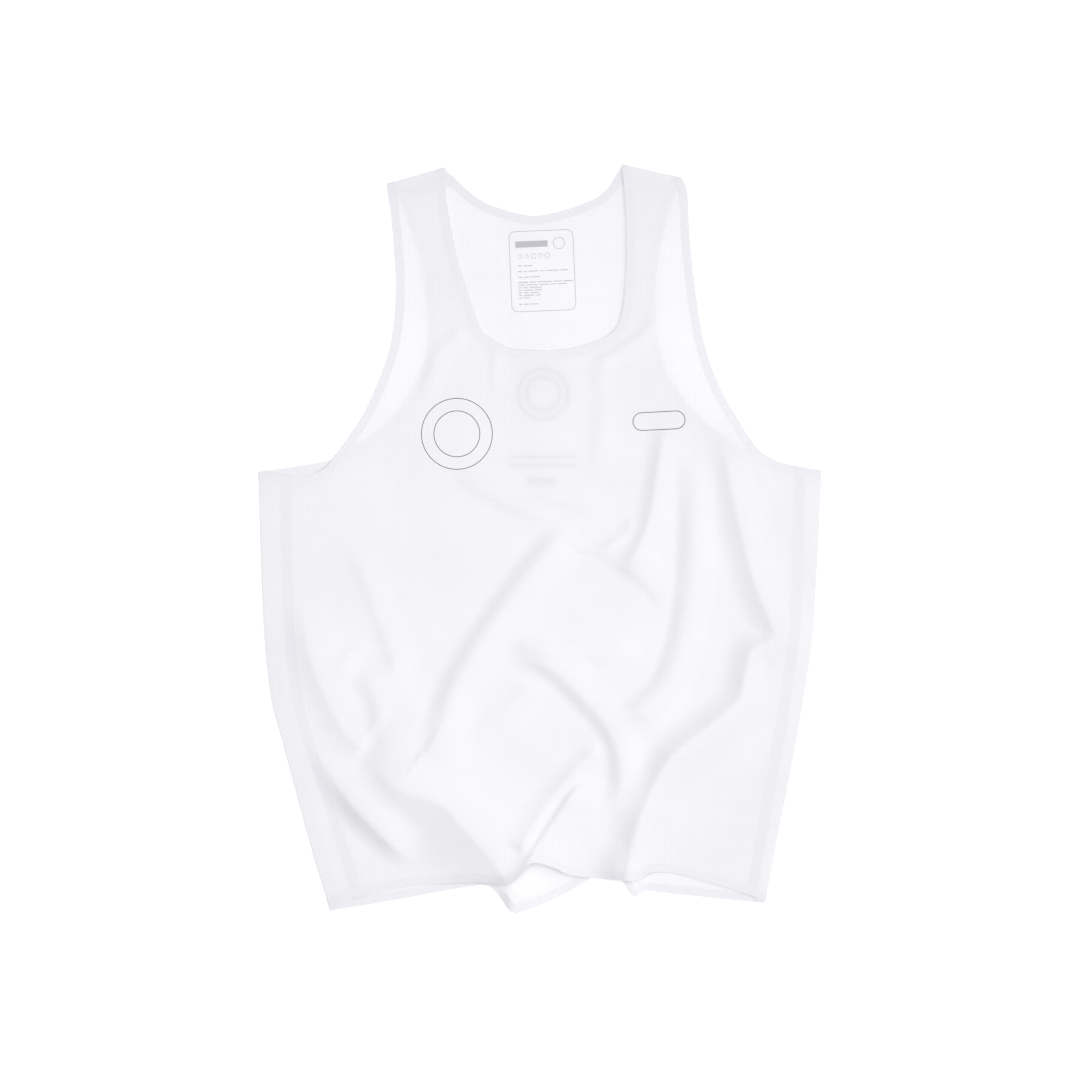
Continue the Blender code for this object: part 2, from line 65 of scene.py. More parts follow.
# The looks' own dimensions
TAPE = 0.3 * MM             # wall of a bonded tape
TAPE_DEPTH = 0.85 * MM      # its outer face, from that of its solid
CLOTH_DEPTH = 1.0 * MM      # the cloth's one sheet, from the outer face of its solid
UNDER_TAPE = 1.2 * MM       # how far the cloth runs in under a tape
PRINT_HEIGHT = 0.06 * MM    # of the ink above the cloth
GRID = 3.3 * MM        # spacing of the points inside a panel
BACK_GRID = 1.3 * GRID      # the same in the back, which has fewer folds
ROW_PITCH = 0.866           # from one row of those to the next, as a share of their spacing
CLEARANCE = 0.6             # from those to an edge or a crease, as a share of their spacing
EDGE_STEP = 3.3 * MM   # spacing of the points along an outline
FOLD_STEP = 6 * MM          # the same on the line from which a fold's height is worked out
KNOT_STEPS = 12             # straight steps between two knots of a curve, before its points are evened
MERGE = 1e-6                # points of one outline closer than this become one
SLIVER = 1e-9               # a triangle smaller than this, in square metres, is left out
TAPE_SHARP = radians(50)    # between two faces of a tape, from which their edge is shaded sharp
BLOCK = 3000                # points worked on at a time, which keeps the memory small

# The side folds, from the armholes to the hem, in mm. wrap_left and wrap_right are how far the back
# comes onto the front side, from the side fold to the side-seam tape.
Section = namedtuple("Section", "name y left right wrap_left wrap_right")
SECTIONS = [
    Section("underarm", 64, -271, 271, 22, 17),
    Section("ribs", -22, -268.5, 267, 21, 14.5),
    Section("waist", -98, -265, 262, 20.5, 13.5),
    Section("low_waist", -156, -258.5, 253.5, 21.5, 13),
    Section("hip", -194, -248.5, 247, 21.5, 12.5),
    Section("low_hip", -252, -233, 236, 25, 12),
    Section("above_hem", -310, -217, 224.5, 27.5, 10.5),
    Section("hem", -350, -204.5, 217, 27.5, 10.5),
]

# The top fold of each strap, in mm: its armhole end and neck end, and how far the two edges of the
# strap move towards the neck for each millimetre down the back.
Strap = namedtuple("Strap", "name outer inner arm_lean neck_lean")
STRAPS = {
    "left": Strap("left", (-147, 340), (-92, 356), 0.29, 0.45),
    "right": Strap("right", (136, 346), (79, 359), 0.18, 0.30),
}

# Edges, in mm. Those of the front lie on top. Those of the back run on past the side folds.
FRONT_NECK = [(-91, 336), (-88, 312), (-78, 263), (-60, 208), (-54, 196), (-43, 188), (-30, 182),
              (-18, 180), (2, 179), (21, 180), (38, 183), (64, 193), (77, 209), (82, 243), (83, 287),
              (82, 318)]
FRONT_ARMHOLE_LEFT = [(-258, 62), (-233, 59), (-221, 60), (-209, 65), (-199, 75), (-172, 113),
                      (-154, 151), (-142, 190), (-138, 238), (-141, 293)]
FRONT_ARMHOLE_RIGHT = [(271, 64), (253, 67), (237, 70), (225, 74), (212, 82), (202, 94), (190, 113),
                       (176, 137), (162, 170), (153, 209), (146, 261), (143, 296), (141, 332)]
BACK_NECK = [(-92, 356), (-83, 346), (-68, 332), (-54, 322), (-36, 315), (-17, 310), (-2, 309),
             (19, 313), (35, 318), (52, 325), (63, 333), (72, 346), (79, 359)]
BACK_ARMHOLE_LEFT = [(-306, 60), (-276, 63), (-271, 63), (-230, 69), (-199, 75), (-181, 87),
                     (-146, 112), (-120, 149), (-111, 172), (-108, 207), (-115, 263), (-134, 320),
                     (-147, 340)]
BACK_ARMHOLE_RIGHT = [(302, 68), (276, 65), (271, 64), (221, 74), (198, 85), (175, 99), (154, 116),
                      (136, 136), (122, 159), (114, 185), (111, 209), (112, 252), (120, 298),
                      (136, 346)]
FRONT_HEM = [(-192, -350), (-179, -347), (-150, -339), (-120, -333), (-96, -332), (-58, -330),
             (-33, -331), (-20, -328), (-10, -321), (-3, -316), (8, -317), (20, -321), (31, -326),
             (49, -327), (78, -327), (97, -326), (106, -321), (131, -322), (159, -330), (187, -338),
             (215, -348), (230, -354)]
BACK_HEM = [(-254, -336), (-207, -357), (-202, -358), (-140, -348), (-86, -338), (-54, -334),
            (-41, -341), (-27, -358), (-20, -358), (-3, -353), (25, -341), (50, -326), (62, -319),
            (78, -328), (90, -344), (100, -339), (129, -342), (188, -348), (217, -350), (242, -343)]

# Folds, in mm. A fold is a ridge that dies out over its reach on the left and on the right of its
# crest, as one travels along the points. Each of these sides is soft, or steepest at its foot, where
# it meets the lower cloth in a crease, or steepest at its top edge. lean moves the crest sideways, so
# that a flap falls over. The height changes evenly from height at the first point to end_height at
# the last, and the ridge rises out of the cloth over fade_in and sinks back over fade_out.
# FRONT_FOLDS and BACK_FOLDS are in the solids too. The other rows are fine creases of the looks.
Fold = namedtuple("Fold", "name height end_height left right left_side right_side lean fade_in fade_out "
                  "points")
FRONT_FOLDS = [
    Fold("left_flap", 15, 15, 90, 64, "soft", "edge", (0, 0), 62, 0,
         [(-175, -197), (-157, -217), (-138, -240), (-118, -247), (-99, -253), (-90, -259),
          (-77, -274), (-60, -293), (-41, -315), (-32, -336)]),
    Fold("right_flap", 8, 8, 75, 26, "soft", "edge", (-5, 6), 40, 0,
         [(53, -221), (46, -231), (25, -266), (6, -294), (-2, -306), (-14, -330)]),
    Fold("chest_step", 7.5, 7.5, 34, 22, "soft", "soft", (0, 0), 35, 60,
         [(41, 6), (15, -8), (-12, -39), (-45, -85), (-74, -131), (-90, -169), (-98, -204),
          (-100, -228)]),
    Fold("belly_step", 7, 7, 30, 17, "soft", "soft", (0, 0), 45, 40,
         [(-34, -108), (9, -122), (39, -150), (67, -182), (78, -216), (76, -257), (69, -276)]),
    Fold("breast_fold", 7, 7, 36, 18, "soft", "edge", (0, 0), 40, 40,
         [(121, 122), (112, 65), (106, 26), (93, -10), (73, -45)]),
    Fold("rib_fold_inner", 7, 7, 25, 17, "soft", "foot", (0, 0), 70, 35,
         [(146, 103), (148, -2), (144, -60), (137, -100), (123, -139), (102, -163), (72, -185)]),
    Fold("hip_fold", 8, 15, 45, 26, "soft", "edge", (0, 0), 60, 0,
         [(169, 113), (179, 65), (187, 26), (196, -12), (207, -50), (219, -79), (223, -94),
          (215, -101), (202, -107), (196, -127), (191, -151), (181, -163), (154, -185), (128, -206),
          (112, -228), (100, -255), (91, -281), (77, -334)]),
    Fold("left_hip_step", 5, 5, 60, 26, "soft", "edge", (0, 0), 60, 10,
         [(-230, -46), (-225, -98), (-209, -146), (-187, -188), (-167, -206)]),
    Fold("left_fold_edge", 5, 5, 60, 20, "soft", "soft", (0, 0), 25, 45,
         [(-173, -121), (-153, -156), (-148, -190), (-142, -218)]),
    Fold("left_hem_ridge", 8, 8, 34, 20, "soft", "edge", (0, 0), 90, 45,
         [(-230, -190), (-208, -219), (-181, -256), (-150, -288), (-133, -303), (-111, -313)]),
    Fold("centre_ridge", 5.5, 5.5, 14, 20, "soft", "edge", (0, 0), 18, 8,
         [(60, -195), (34, -223), (12, -247), (-6, -273), (-21, -302)]),
]
FRONT_CREASES = [
    Fold("breast_lip", 2.5, 2.5, 9, 10, "soft", "soft", (0, 0), 15, 20,
         [(88, 26), (85, 9), (75, -3), (58, -10), (38, -7), (21, 0)]),
    Fold("chest_drag_upper", 2.6, 2.6, 30, 14, "soft", "soft", (0, 0), 30, 30,
         [(-10, 46), (34, 33), (72, 25)]),
    Fold("chest_drag_lower", 3.0, 3.0, 40, 14, "soft", "soft", (0, 0), 40, 40,
         [(-90, 66), (-52, 45), (-15, 28), (27, 22)]),
    Fold("belly_drag", 2.6, 2.6, 40, 14, "soft", "soft", (0, 0), 25, 25,
         [(-38, -98), (10, -106), (58, -114), (101, -110)]),
    Fold("belly_tick", 2.8, 2.8, 30, 12, "soft", "soft", (0, 0), 20, 20,
         [(50, -10), (86, -29), (110, -50), (125, -68)]),
    Fold("lower_drag", 2.4, 2.4, 30, 13, "soft", "foot", (0, 0), 10, 40,
         [(-12, -135), (-15, -148), (-23, -160), (-38, -173), (-67, -192), (-106, -219)]),
    Fold("left_notch", 0.8, 0.8, 20, 14, "soft", "soft", (0, 0), 10, 15,
         [(-121, -160), (-114, -177), (-108, -196)]),
    Fold("left_drag", 2.2, 2.2, 30, 13, "soft", "soft", (0, 0), 40, 20,
         [(-187, 2), (-168, -39), (-156, -72), (-143, -106), (-133, -137)]),
    Fold("left_arc", 1.6, 1.6, 14, 12, "soft", "soft", (0, 0), 15, 20,
         [(-161, -98), (-175, -106), (-187, -120), (-189, -137)]),
    Fold("right_side_drag", 2, 2, 20, 12, "soft", "soft", (0, 0), 20, 30,
         [(219, -108), (225, -125), (227, -146), (229, -164)]),
    Fold("underarm_drag_right", 1.8, 1.8, 20, 14, "soft", "soft", (0, 0), 20, 30,
         [(248, 36), (233, 17), (222, -7)]),
    Fold("armhole_drag_right", 1.6, 1.6, 16, 8, "soft", "soft", (0, 0), 6, 20,
         [(201, 93), (209, 74), (215, 55), (219, 34)]),
    Fold("neck_drag_left", 2.2, 2.2, 20, 12, "soft", "soft", (0, 0), 12, 30,
         [(-69, 198), (-86, 189), (-99, 172), (-106, 150), (-118, 126)]),
    Fold("neck_drag_centre", 1.5, 1.5, 12, 8, "soft", "soft", (0, 0), 15, 30,
         [(-44, 190), (-43, 159), (-44, 127)]),
    Fold("neck_drag_right", 2.2, 2.2, 24, 14, "soft", "soft", (0, 0), 15, 40,
         [(54, 178), (60, 137), (58, 94), (49, 53)]),
    Fold("strap_drag_right", 2.8, 2.8, 16, 10, "soft", "soft", (0, 0), 20, 15,
         [(115, 216), (97, 193), (73, 177), (50, 167)]),
    Fold("hem_pucker", 3.5, 3.5, 10, 26, "soft", "soft", (0, 0), 25, 0,
         [(79, -288), (72, -312), (67, -336)]),
]
BACK_FOLDS = [
    Fold("hem_ridge_left", 10, 10, 70, 20, "soft", "edge", (0, 0), 50, 0,
         [(-38, -308), (-30, -334), (-28, -368)]),
    Fold("hem_ridge_right", 6, 6, 12, 25, "soft", "soft", (0, 0), 45, 0,
         [(84, -302), (92, -338), (94, -356)]),
]

# The back has a low crease of its own in the hollow under some of the front's folds and creases. Its
# height and reach are these shares of theirs.
Under = namedtuple("Under", "name height reach")
BACK_CREASES_UNDER = [
    Under("chest_step", 0.27, 0.6),
    Under("belly_step", 0.2, 0.7),
    Under("breast_fold", 0.3, 0.55),
    Under("rib_fold_inner", 0.24, 0.6),
    Under("hip_fold", 0.22, 0.5),
    Under("left_fold_edge", 0.25, 0.6),
    Under("chest_drag_lower", 0.3, 0.5),
    Under("left_drag", 0.35, 0.7),
    Under("neck_drag_left", 0.3, 0.8),
    Under("neck_drag_right", 0.25, 0.6),
]
UNDER_FADE = 45             # mm over which such a crease fades at each end


def back_creases():
    """The rows of the back's own creases."""
    front_rows = {fold.name: fold for fold in FRONT_FOLDS + FRONT_CREASES}
    rows = []
    for crease in BACK_CREASES_UNDER:
        fold = front_rows[crease.name]
        rows.append(fold._replace(
            name="under_" + fold.name,
            height=crease.height * fold.height, end_height=crease.height * fold.end_height,
            left=crease.reach * fold.left, right=crease.reach * fold.right,
            left_side="soft", right_side="soft", fade_in=UNDER_FADE, fade_out=UNDER_FADE))
    return rows


BACK_CREASES = back_creases()


# Lines in the plane

def resample(line, step):
    """The same line with its points at even distances of about step."""
    run = np.concatenate([[0], np.cumsum(np.hypot(*np.diff(line, axis=0).T))])
    places = np.linspace(0, run[-1], max(2, round(run[-1] / step) + 1))
    return np.column_stack([np.interp(places, run, line[:, 0]), np.interp(places, run, line[:, 1])])


def curve(points, step=EDGE_STEP):
    """A smooth curve (Catmull-Rom) through points given in millimetres, with even steps in metres."""
    knots = np.array(points, dtype=float) * MM
    knots = np.vstack([2 * knots[0] - knots[1], knots, 2 * knots[-1] - knots[-2]])
    pieces = []
    for p0, p1, p2, p3 in zip(knots, knots[1:], knots[2:], knots[3:]):
        t = np.linspace(0, 1, KNOT_STEPS, endpoint=False)[:, None]
        pieces.append(0.5 * (2 * p1 + (p2 - p0) * t + (2 * p0 - 5 * p1 + 4 * p2 - p3) * t ** 2
                             + (3 * p1 - p0 - 3 * p2 + p3) * t ** 3))
    return resample(np.vstack(pieces + [knots[-2:-1]]), step)


def beside(line, distance):
    """The line moved sideways by distance, to the left of its direction."""
    along = np.gradient(line, axis=0)
    along /= np.hypot(*along.T)[:, None]
    return line + distance * np.column_stack([-along[:, 1], along[:, 0]])


def above(line, distance):
    """A hem line moved up by distance, measured square to the hem where that isn't too steep."""
    slope = np.gradient(line[:, 1]) / np.gradient(line[:, 0])
    longest = 1.35
    stretch = np.minimum(np.sqrt(1 + slope ** 2), longest)
    return line + np.column_stack([np.zeros(len(line)), distance * stretch])


def crossing(first, second):
    """Where two lines cross, as a place along each (whole part: segment) and the point."""
    start, step = first[:-1, None], np.diff(first, axis=0)[:, None]
    other, other_step = second[None, :-1], np.diff(second, axis=0)[None]
    gap = other - start
    turn = step[..., 0] * other_step[..., 1] - step[..., 1] * other_step[..., 0]
    parallel = 1e-18
    turn = np.where(np.abs(turn) < parallel, np.nan, turn)
    here = (gap[..., 0] * other_step[..., 1] - gap[..., 1] * other_step[..., 0]) / turn
    there = (gap[..., 0] * step[..., 1] - gap[..., 1] * step[..., 0]) / turn
    hits = np.argwhere((here >= 0) & (here <= 1) & (there >= 0) & (there <= 1))
    if not len(hits):
        raise ValueError("two edges of an outline do not meet")
    i, j = hits[0]
    return i + here[i, j], j + there[i, j], first[i] + here[i, j] * np.diff(first, axis=0)[i]


def outline(*edges):
    """The closed outline between edges that each cross the next one, trimmed at the crossings."""
    corners = [crossing(edge, edges[(k + 1) % len(edges)]) for k, edge in enumerate(edges)]
    clear = 0.2  # of a segment: a point closer to a corner than this is left out
    points = []
    for k, edge in enumerate(edges):
        begin, end = corners[k - 1][1], corners[k][0]
        low, high = min(begin, end) + clear, max(begin, end) - clear
        inner = [i for i in range(len(edge)) if low < i < high]
        points += [edge[i] for i in (inner if begin < end else reversed(inner))]
        points.append(corners[k][2])
    return np.array(points)


def nearest(points, line):
    """For each point: its distance to the line, positive on the left, and how far along that is."""
    start, step = line[:-1], np.diff(line, axis=0)
    length = np.hypot(*step.T)
    run = np.concatenate([[0], np.cumsum(length)])
    found = [np.zeros((0, 2))]
    for block in np.array_split(points, len(points) // BLOCK + 1):
        gap = block[:, None] - start
        part = np.clip((gap * step).sum(2) / length ** 2, 0, 1)
        away = gap - part[..., None] * step
        best = np.argmin((away ** 2).sum(2), axis=1)
        rows = np.arange(len(block))
        side = np.sign(step[best, 0] * gap[rows, best, 1] - step[best, 1] * gap[rows, best, 0])
        found.append(np.column_stack([side * np.hypot(*away[rows, best].T),
                                      run[best] + part[rows, best] * length[best]]))
    return np.vstack(found).T


# The side folds and the strap tops

def side_profile(column):
    """A column of SECTIONS as a smooth function of y, in metres, that runs on past both ends."""
    rows = [(getattr(row, column), row.y) for row in SECTIONS]
    run_on = 40
    top = (rows[0][0], rows[0][1] + run_on)
    low = tuple(2 * last - before for last, before in zip(rows[-1], rows[-2]))
    line = curve([top] + rows + [low])[::-1]
    return lambda y: np.interp(y, line[:, 1], line[:, 0])


outer_left, outer_right = side_profile("left"), side_profile("right")
wrap_left, wrap_right = side_profile("wrap_left"), side_profile("wrap_right")


def side_left(y):
    """Where the flat back starts to turn up, on the left."""
    return outer_left(y) + FOLD_RADIUS


def side_right(y):
    """Where the flat back starts to turn up, on the right."""
    return outer_right(y) - FOLD_RADIUS


def seam_line(side, inset):
    """A line down one side, inset metres inside the outer edge of the side-seam tape."""
    past_armhole, past_hem = 90 * MM, -372 * MM
    y = np.linspace(past_armhole, past_hem, 47)
    if side == "left":
        return np.column_stack([outer_left(y) + wrap_left(y) + inset, y])
    return np.column_stack([outer_right(y) - wrap_right(y) - inset, y])


def wrapped_seam_line(side, inset):
    """The same line on the back's flat outline, which runs out past the side fold."""
    line = seam_line(side, inset)
    fold = side_left(line[:, 1]) if side == "left" else side_right(line[:, 1])
    outward = -FOLD_ARC if side == "left" else FOLD_ARC
    return np.column_stack([2 * fold - line[:, 0] + outward, line[:, 1]])


def side_fold_creases():
    """Lines along both side folds, at each facet of the turn."""
    past_armhole, past_hem = 70 * MM, -370 * MM
    y = np.linspace(past_armhole, past_hem, 111)
    places = np.arange(FOLD_FACETS + 1) / FOLD_FACETS * FOLD_ARC
    return ([np.column_stack([side_left(y) - place, y]) for place in places]
            + [np.column_stack([side_right(y) + place, y]) for place in places])


def strap_axes(strap):
    """Where a strap's top starts to turn, at its armhole end, and the directions along and across it."""
    outer, inner = np.array(strap.outer) * MM, np.array(strap.inner) * MM
    along = (inner - outer) / np.hypot(*(inner - outer))
    up = np.array([-along[1], along[0]]) * np.sign(along[0])
    return outer - FOLD_RADIUS * up, along, up


def strap_line(strap, rise):
    """A line along a strap's top fold, moved up the flat cloth by rise (down if negative)."""
    outer, along, up = strap_axes(strap)
    width = np.hypot(*(np.array(strap.inner) - strap.outer)) * MM
    reach = 25 * MM
    ends = np.array([outer - reach * along, outer + (width + reach) * along]) + rise * up
    return resample(ends, EDGE_STEP)


def past_top(strap, corner, lean):
    """The two points, in mm, by which an edge of the front runs on over the top of its strap."""
    _, along, up = strap_axes(strap)
    corner = np.array(corner) - up * FOLD_RADIUS / MM
    over = corner + up * FOLD_ARC / MM
    past_seam = 8 * MM
    drop = (SHOULDER_DROP + past_seam) / MM
    return [tuple(corner), tuple(over), tuple(over + up * drop + along * lean * drop)]


# The two layers

# How a fold's side falls from its crest, at part 0, to its reach, at part 1.
PROFILES = {
    "soft": lambda part: 0.5 + 0.5 * np.cos(pi * part),
    "foot": lambda part: np.cos(pi / 2 * part),
    "edge": lambda part: 1 - np.sin(pi / 2 * part),
}


def profile(away, fold):
    """A fold's height across it, from 1 at its crest to 0 at its reach on either side."""
    left = PROFILES[fold.left_side](np.clip(away / (fold.left * MM), 0, 1))
    right = PROFILES[fold.right_side](np.clip(-away / (fold.right * MM), 0, 1))
    return np.where(away > 0, left, right)


def ramp(value):
    """A smooth rise from 0 at 0 to 1 at 1."""
    value = np.clip(value, 0, 1)
    return value * value * (3 - 2 * value)


def relief(points, folds):
    """How high the folds lift each point of flat cloth, and how far they move it sideways."""
    rise, shift = np.zeros(len(points)), np.zeros((len(points), 2))
    for fold in folds:
        line = curve(fold.points, FOLD_STEP)
        reach = max(fold.left, fold.right) * MM
        near = np.flatnonzero(((points > line.min(0) - reach) & (points < line.max(0) + reach)).all(1))
        away, run = nearest(points[near], line)
        length = np.hypot(*np.diff(line, axis=0).T).sum()
        share = profile(away, fold)
        if fold.fade_in:
            share = share * ramp(run / (fold.fade_in * MM))
        if fold.fade_out:
            share = share * ramp((length - run) / (fold.fade_out * MM))
        rise[near] += (fold.height + (fold.end_height - fold.height) * run / length) * MM * share
        shift[near] += share[:, None] * np.array(fold.lean) * MM
    return rise, shift


def calm(points):
    """0 at the side folds and strap tops, 1 away from them."""
    share = ramp((points[:, 0] - side_left(points[:, 1])) / CALM_EDGE)
    share = share * ramp((side_right(points[:, 1]) - points[:, 0]) / CALM_EDGE)
    for strap in STRAPS.values():
        outer, _, up = strap_axes(strap)
        near = np.sign(points[:, 0]) == np.sign(outer[0])
        share = np.where(near, share * ramp(-((points - outer) @ up) / CALM_EDGE), share)
    return share


def on_front(points):
    """The front's outer face at points of the flat front, folds and all."""
    rise, shift = relief(points, FRONT_FOLDS + FRONT_CREASES)
    lying = points + shift
    back_rise, _ = relief(lying, BACK_FOLDS)
    rise = 0.5 * (rise + np.sqrt(rise ** 2 + SETTLE ** 2)) * calm(points)
    return np.column_stack([lying, LIFT + rise + back_rise])


def front_layer(points):
    """Lay flat cloth as the front: on the back, and over each strap top to the surface."""
    placed = on_front(points)
    for strap in STRAPS.values():
        outer, _, up = strap_axes(strap)
        past = (points - outer) @ up
        over = (past > 0) & (np.sign(points[:, 0]) == np.sign(outer[0]))
        angle = np.clip(past / FOLD_RADIUS, 0, pi)
        foot = points - past[:, None] * up
        out = FOLD_RADIUS * np.sin(angle) - np.maximum(past - FOLD_ARC, 0)
        turned = np.column_stack([foot + out[:, None] * up, FOLD_RADIUS * (1 + np.cos(angle))])
        placed = np.where(over[:, None], turned, placed)
    return placed


def back_layer(points):
    """Lay flat cloth as the back: on the surface, and round each side fold onto the front side."""
    rise, _ = relief(points, BACK_FOLDS + BACK_CREASES)
    placed = np.column_stack([points, rise])
    y = points[:, 1]
    for fold, outward in ((side_left(y), -1), (side_right(y), 1)):
        past = (points[:, 0] - fold) * outward
        angle = np.clip(past / FOLD_RADIUS, 0, pi)
        x = fold + outward * (FOLD_RADIUS * np.sin(angle) - np.maximum(past - FOLD_ARC, 0))
        lying = on_front(np.column_stack([x, y]))
        turning = np.column_stack([x, y, FOLD_RADIUS * (1 - np.cos(angle))])
        turned = np.where((past > FOLD_ARC)[:, None], lying, turning)
        placed = np.where((past > 0)[:, None], turned, placed)
    return placed


# Making the pieces

def inside(points, ring):
    """Which points lie inside a closed ring."""
    after = np.roll(ring, -1, axis=0)
    height = np.where(after[:, 1] == ring[:, 1], 1, after[:, 1] - ring[:, 1])
    found = []
    for block in np.array_split(points, len(points) // BLOCK + 1):
        spans = (ring[None, :, 1] > block[:, None, 1]) != (after[None, :, 1] > block[:, None, 1])
        x = ring[:, 0] + (block[:, None, 1] - ring[:, 1]) / height * (after[:, 0] - ring[:, 0])
        found.append((spans & (block[:, None, 0] < x)).sum(1) % 2 == 1)
    return np.concatenate(found)


def fill(ring, creases, spacing):
    """Triangles that fill a ring, with points on a staggered grid and edges along the creases."""
    low, high = ring.min(0), ring.max(0)
    lines = [np.vstack([ring, ring[:1]])] + creases
    rows = np.arange(low[1], high[1], spacing * ROW_PITCH)
    grid = np.array([(x + (k % 2) * spacing / 2, y) for k, y in enumerate(rows)
                     for x in np.arange(low[0], high[0], spacing)])
    grid = grid[inside(grid, ring)]
    for line in lines:
        grid = grid[np.abs(nearest(grid, line)[0]) > CLEARANCE * spacing]
    points, edges = [], []
    for line in lines:
        first = len(points)
        points += [tuple(p) for p in line]
        edges += [(first + k, first + k + 1) for k in range(len(line) - 1)]
    points += [tuple(p) for p in grid]
    flat, _, faces, *_ = delaunay_2d_cdt(points, edges, [], 0, MERGE)
    flat, faces = np.array([tuple(p) for p in flat]), np.array([tuple(face) for face in faces])
    along, across = (flat[faces[:, k]] - flat[faces[:, 0]] for k in (1, 2))
    area = np.abs(along[:, 0] * across[:, 1] - along[:, 1] * across[:, 0]) / 2
    faces = faces[inside(flat[faces].mean(1), ring) & (area > SLIVER)]
    used, places = np.unique(faces, return_inverse=True)
    return flat[used], places.reshape(-1, 3)


def lay(layer, slab):
    """Bend a flat slab as its layer's map bends its outer face, at z = 0, and keep its thickness."""
    flat = slab[:, :2]
    nudge = 0.2 * MM
    along_x = layer(flat + (nudge, 0)) - layer(flat - (nudge, 0))
    along_y = layer(flat + (0, nudge)) - layer(flat - (0, nudge))
    normal = np.cross(along_x, along_y)
    normal /= np.linalg.norm(normal, axis=1)[:, None]
    return layer(flat) + slab[:, 2:] * normal


def inward(layer):
    """1 where a slab's inside is above its flat outline, and -1 where it is below."""
    return 1 if layer is back_layer else -1


def finish_piece(name, flat, places, faces, material):
    """An object from laid points, with the flat cloth's own coordinates, in metres, as its UV map."""
    mesh = bpy.data.meshes.new(name)
    mesh.from_pydata([tuple(p) for p in places], [], [tuple(int(k) for k in face) for face in faces])
    corners = np.empty(len(mesh.loops), dtype=np.int32)
    mesh.loops.foreach_get("vertex_index", corners)
    mesh.uv_layers.new(name="flat").data.foreach_set("uv", flat[corners].astype(np.float32).ravel())
    mesh.polygons.foreach_set("use_smooth", [True] * len(mesh.polygons))
    mesh.materials.append(material)
    thing = bpy.data.objects.new(name, mesh)
    bpy.context.scene.collection.objects.link(thing)
    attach(thing, "root")
    return thing


def cloth_sheet(name, node, ring, layer, material, creases=(), spacing=GRID):
    """A panel: one sheet of cloth in its outline, laid by its map, in place of its solid."""
    flat, faces = fill(ring, list(creases), spacing)
    depth = np.full(len(flat), inward(layer) * CLOTH_DEPTH)
    if layer is back_layer:
        faces = faces[:, ::-1]
    places = lay(layer, np.column_stack([flat, depth]))
    thing = finish_piece(name, flat, places, faces, material)
    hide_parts(node)
    return thing


def tape_strip(name, node, ring, layer, material, creases=()):
    """A bonded tape: a thin slab in its outline, laid by its map, in place of its solid."""
    flat, faces = fill(ring, list(creases), GRID)
    count = len(flat)
    outer, inner = inward(layer) * TAPE_DEPTH, inward(layer) * (TAPE_DEPTH + TAPE)
    if layer is back_layer:
        faces = faces[:, ::-1]
    rim = {}  # the edges that only one triangle has
    for face in faces:
        for a, b in zip(face, np.roll(face, -1)):
            if rim.pop((b, a), None) is None:
                rim[a, b] = True
    sides = [(b, a, a + count, b + count) for a, b in rim]
    slab = np.vstack([np.column_stack([flat, np.full(count, outer)]),
                      np.column_stack([flat, np.full(count, inner)])])
    top, bottom = [tuple(face) for face in faces], [tuple(face[::-1] + count) for face in faces]
    thing = finish_piece(name, slab[:, :2], lay(layer, slab), top + bottom + sides, material)
    thing.data.set_sharp_from_angle(angle=TAPE_SHARP)
    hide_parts(node)
    return thing


def print_mark(name, strokes, layer, height, material):
    """Ink on the cloth: strokes as (line, width), laid outward from the cloth by height, in metres."""
    flat, faces = [], []
    for line, width in strokes:
        first = len(flat)
        flat += list(beside(line, width / 2)) + list(beside(line, -width / 2))
        count = len(line)
        faces += [(first + k, first + count + k, first + count + k + 1, first + k + 1)
                  for k in range(count - 1)]
    flat = np.array(flat)
    if layer is back_layer:
        faces = [face[::-1] for face in faces]
    slab = np.column_stack([flat, np.full(len(flat), inward(layer) * (CLOTH_DEPTH - height))])
    finish_piece(name, flat, lay(layer, slab), faces, material)


# Materials

WAFFLE_PITCH = 2.1 * MM     # between the thicker threads of the waffle
THREAD_PITCH = 0.42 * MM    # between single threads
CLOTH_COLOUR = (0.965, 0.959, 0.96)
THREAD_COLOUR = (0.84, 0.835, 0.855)
INNER_PAINTED_SHADE = (0.97, 0.963, 0.956)   # painted shade: the inner face's colour, as a share of the outer face's, a little darker to stand in for the dimmer light on cloth seen from inside
TAPE_COLOUR = (0.891, 0.884, 0.899)
SEAM_COLOUR = (0.88, 0.873, 0.889)
DARK_INK_COLOUR = (0.03, 0.03, 0.035)
LABEL_INK_COLOUR = (0.5, 0.5, 0.52)
SHEER = 0.87                # alpha of the cloth
TAPE_SHEER = 0.9            # alpha of a tape
MIX_SHARE, MIX_FIRST, MIX_SECOND, MIX_RESULT = 0, 6, 7, 2   # sockets of a Mix node set to colour


def add(tree, kind, **properties):
    """A node with its properties set."""
    node = tree.nodes.new(kind)
    for key, value in properties.items():
        setattr(node, key, value)
    return node


def set_sockets(node, values):
    """Set a node's own sockets to constants, by their names."""
    for socket, value in values.items():
        node.inputs[socket].default_value = value


def principled(name, values):
    """A new material, its node tree and its shader, with the shader's constants set."""
    material = bpy.data.materials.new(name)
    material.use_nodes = True
    shader = material.node_tree.nodes["Principled BSDF"]
    set_sockets(shader, values)
    return material, material.node_tree, shader


def math(tree, operation, *values):
    """A math node on outputs and numbers; its own output."""
    node = add(tree, "ShaderNodeMath", operation=operation)
    for socket, value in zip(node.inputs, values):
        if isinstance(value, (int, float)):
            socket.default_value = value
        else:
            tree.links.new(value, socket)
    return node.outputs[0]


